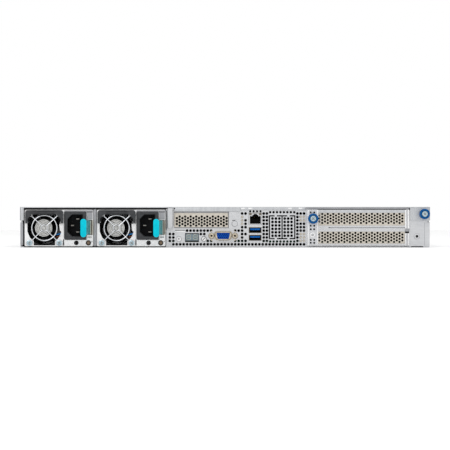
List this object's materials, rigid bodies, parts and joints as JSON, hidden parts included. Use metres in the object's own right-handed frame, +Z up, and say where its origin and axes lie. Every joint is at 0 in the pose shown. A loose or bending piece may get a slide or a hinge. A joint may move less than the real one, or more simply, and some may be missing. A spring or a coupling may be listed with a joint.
{
  "type": "1u rack server",
  "caption": "Flat rack server in a folded steel case: pull-out power supplies, ports, slot covers, fans, drive trays and lift-off cover.",
  "frame": {"origin": "centre of the footprint, on the plane that the case rests on", "axes": "+Z up, +Y from the rear panel (the pictured side) to the drive trays, +X to the right of someone who looks at the rear"},
  "size_m": [0.4826, 0.8634, 0.0434],
  "materials": {
    "zinc_steel": "bright zinc-plated steel sheet",
    "cover_steel": "warm nickel-plated steel sheet",
    "nickel_steel": "nickel-plated steel sheet",
    "chrome_wire": "chromed steel wire",
    "nickel_metal": "nickel-plated button caps",
    "port_metal": "tin-plated connector shells",
    "black_plastic": "black moulded plastic",
    "dark_plastic": "dark grey moulded plastic",
    "fan_grey": "grey fan hub and blades",
    "cyan_plastic": "cyan moulded plastic",
    "blue_plastic": "blue moulded knob",
    "display_plastic": "smoked display window",
    "circuit_board": "green solder mask on glass laminate",
    "aluminium_fins": "extruded aluminium fins",
    "painted_steel": "black powder coat"
  },
  "bodies": {
    "root": {"chassis_base": "zinc_steel", "front_cover": "zinc_steel", "rear_panel": "zinc_steel", "full_height_slot_covers": "cover_steel", "low_profile_slot_cover": "cover_steel", "slot_retainer": "zinc_steel", "riser_cage": "zinc_steel", "riser_card": "circuit_board", "vga_port": "port_metal", "lan_port": "port_metal", "usb_ports": "port_metal", "status_display": "display_plastic", "psu_bay_walls": "zinc_steel", "power_board": "circuit_board", "motherboard": "circuit_board", "cpu_heatsinks": "aluminium_fins", "dimm_sockets": "black_plastic", "dimm_modules": "circuit_board", "air_shroud": "black_plastic", "fan_bracket": "zinc_steel", "fan_frames": "black_plastic", "drive_cage": "zinc_steel", "drive_backplane": "circuit_board", "rack_ears": "painted_steel"},
    "cover": {"top_cover": "zinc_steel"},
    "cover_screw": {"thumbscrew_cover": "blue_plastic"},
    "riser_screw": {"thumbscrew_riser": "blue_plastic"},
    "psu_1": {"psu_1_case": "nickel_steel", "psu_1_inlet": "dark_plastic", "psu_1_fan_frame": "black_plastic", "psu_1_guard": "chrome_wire"},
    "psu_1_rotor_body": {"psu_1_rotor": "fan_grey"},
    "psu_1_latch_body": {"psu_1_latch": "cyan_plastic"},
    "psu_1_handle_body": {"psu_1_handle": "dark_plastic"},
    "psu_2": {"psu_2_case": "nickel_steel", "psu_2_inlet": "dark_plastic", "psu_2_fan_frame": "black_plastic", "psu_2_guard": "chrome_wire"},
    "psu_2_rotor_body": {"psu_2_rotor": "fan_grey"},
    "psu_2_latch_body": {"psu_2_latch": "cyan_plastic"},
    "psu_2_handle_body": {"psu_2_handle": "dark_plastic"},
    "system_fan_1": {"fan_rotor_1": "black_plastic"},
    "system_fan_2": {"fan_rotor_2": "black_plastic"},
    "system_fan_3": {"fan_rotor_3": "black_plastic"},
    "system_fan_4": {"fan_rotor_4": "black_plastic"},
    "system_fan_5": {"fan_rotor_5": "black_plastic"},
    "system_fan_6": {"fan_rotor_6": "black_plastic"},
    "tray_1": {"drive_tray_1": "black_plastic"},
    "lever_1": {"tray_lever_1": "dark_plastic"},
    "tray_2": {"drive_tray_2": "black_plastic"},
    "lever_2": {"tray_lever_2": "dark_plastic"},
    "tray_3": {"drive_tray_3": "black_plastic"},
    "lever_3": {"tray_lever_3": "dark_plastic"},
    "tray_4": {"drive_tray_4": "black_plastic"},
    "lever_4": {"tray_lever_4": "dark_plastic"},
    "identify_rear": {"identify_button_rear": "nickel_metal"},
    "reset_rear": {"reset_button_rear": "nickel_metal"},
    "power_front": {"power_button_front": "nickel_metal"},
    "identify_front": {"identify_button_front": "nickel_metal"}
  },
  "joints": [
    {"name": "cover_lift", "type": "slide", "parent": "root", "child": "cover", "axis": [0, 0, 1], "range_m": [0, 0.12]},
    {"name": "cover_screw_turn", "type": "hinge", "parent": "cover", "child": "cover_screw", "pos_m": [0.2134, -0.41165, 0.0358], "axis": [0, -1, 0], "continuous": true},
    {"name": "riser_screw_turn", "type": "hinge", "parent": "root", "child": "riser_screw", "pos_m": [0.0943, -0.41165, 0.0308], "axis": [0, -1, 0], "continuous": true},
    {"name": "psu_1_slide", "type": "slide", "parent": "root", "child": "psu_1", "axis": [0, -1, 0], "range_m": [0, 0.205]},
    {"name": "psu_1_fan_spin", "type": "hinge", "parent": "psu_1", "child": "psu_1_rotor_body", "pos_m": [-0.1936, -0.39865, 0.0208], "axis": [0, 1, 0], "continuous": true},
    {"name": "psu_1_latch_press", "type": "hinge", "parent": "psu_1", "child": "psu_1_latch_body", "pos_m": [-0.1444, -0.39765, 0.0214], "axis": [0, 0, -1], "range_deg": [0, 4], "stiffness_Nm_per_rad": 0.05},
    {"name": "psu_1_handle_swing", "type": "hinge", "parent": "psu_1", "child": "psu_1_handle_body", "pos_m": [-0.1936, -0.41475, 0.027], "axis": [1, 0, 0], "range_deg": [0, 95]},
    {"name": "psu_2_slide", "type": "slide", "parent": "root", "child": "psu_2", "axis": [0, -1, 0], "range_m": [0, 0.205]},
    {"name": "psu_2_fan_spin", "type": "hinge", "parent": "psu_2", "child": "psu_2_rotor_body", "pos_m": [-0.1161, -0.39865, 0.0208], "axis": [0, 1, 0], "continuous": true},
    {"name": "psu_2_latch_press", "type": "hinge", "parent": "psu_2", "child": "psu_2_latch_body", "pos_m": [-0.0669, -0.39765, 0.0214], "axis": [0, 0, -1], "range_deg": [0, 4], "stiffness_Nm_per_rad": 0.05},
    {"name": "psu_2_handle_swing", "type": "hinge", "parent": "psu_2", "child": "psu_2_handle_body", "pos_m": [-0.1161, -0.41475, 0.027], "axis": [1, 0, 0], "range_deg": [0, 95]},
    {"name": "fan_1_spin", "type": "hinge", "parent": "root", "child": "system_fan_1", "pos_m": [-0.175, 0.16435, 0.022], "axis": [0, 1, 0], "continuous": true},
    {"name": "fan_2_spin", "type": "hinge", "parent": "root", "child": "system_fan_2", "pos_m": [-0.105, 0.16435, 0.022], "axis": [0, 1, 0], "continuous": true},
    {"name": "fan_3_spin", "type": "hinge", "parent": "root", "child": "system_fan_3", "pos_m": [-0.035, 0.16435, 0.022], "axis": [0, 1, 0], "continuous": true},
    {"name": "fan_4_spin", "type": "hinge", "parent": "root", "child": "system_fan_4", "pos_m": [0.035, 0.16435, 0.022], "axis": [0, 1, 0], "continuous": true},
    {"name": "fan_5_spin", "type": "hinge", "parent": "root", "child": "system_fan_5", "pos_m": [0.105, 0.16435, 0.022], "axis": [0, 1, 0], "continuous": true},
    {"name": "fan_6_spin", "type": "hinge", "parent": "root", "child": "system_fan_6", "pos_m": [0.175, 0.16435, 0.022], "axis": [0, 1, 0], "continuous": true},
    {"name": "tray_1_slide", "type": "slide", "parent": "root", "child": "tray_1", "axis": [0, 1, 0], "range_m": [0, 0.16]},
    {"name": "tray_1_lever", "type": "hinge", "parent": "tray_1", "child": "lever_1", "pos_m": [-0.2053, 0.42805, 0.016], "axis": [0, 0, 1], "range_deg": [0, 65]},
    {"name": "tray_2_slide", "type": "slide", "parent": "root", "child": "tray_2", "axis": [0, 1, 0], "range_m": [0, 0.16]},
    {"name": "tray_2_lever", "type": "hinge", "parent": "tray_2", "child": "lever_2", "pos_m": [-0.0981, 0.42805, 0.016], "axis": [0, 0, 1], "range_deg": [0, 65]},
    {"name": "tray_3_slide", "type": "slide", "parent": "root", "child": "tray_3", "axis": [0, 1, 0], "range_m": [0, 0.16]},
    {"name": "tray_3_lever", "type": "hinge", "parent": "tray_3", "child": "lever_3", "pos_m": [0.0091, 0.42805, 0.016], "axis": [0, 0, 1], "range_deg": [0, 65]},
    {"name": "tray_4_slide", "type": "slide", "parent": "root", "child": "tray_4", "axis": [0, 1, 0], "range_m": [0, 0.16]},
    {"name": "tray_4_lever", "type": "hinge", "parent": "tray_4", "child": "lever_4", "pos_m": [0.1163, 0.42805, 0.016], "axis": [0, 0, 1], "range_deg": [0, 65]},
    {"name": "identify_rear_press", "type": "slide", "parent": "root", "child": "identify_rear", "axis": [0, 1, 0], "range_m": [0, 0.001], "stiffness_N_per_m": 400},
    {"name": "reset_rear_press", "type": "slide", "parent": "root", "child": "reset_rear", "axis": [0, 1, 0], "range_m": [0, 0.001], "stiffness_N_per_m": 400},
    {"name": "power_front_press", "type": "slide", "parent": "root", "child": "power_front", "axis": [0, -1, 0], "range_m": [0, 0.0007], "stiffness_N_per_m": 400},
    {"name": "identify_front_press", "type": "slide", "parent": "root", "child": "identify_front", "axis": [0, -1, 0], "range_m": [0, 0.0007], "stiffness_N_per_m": 400}
  ]
}
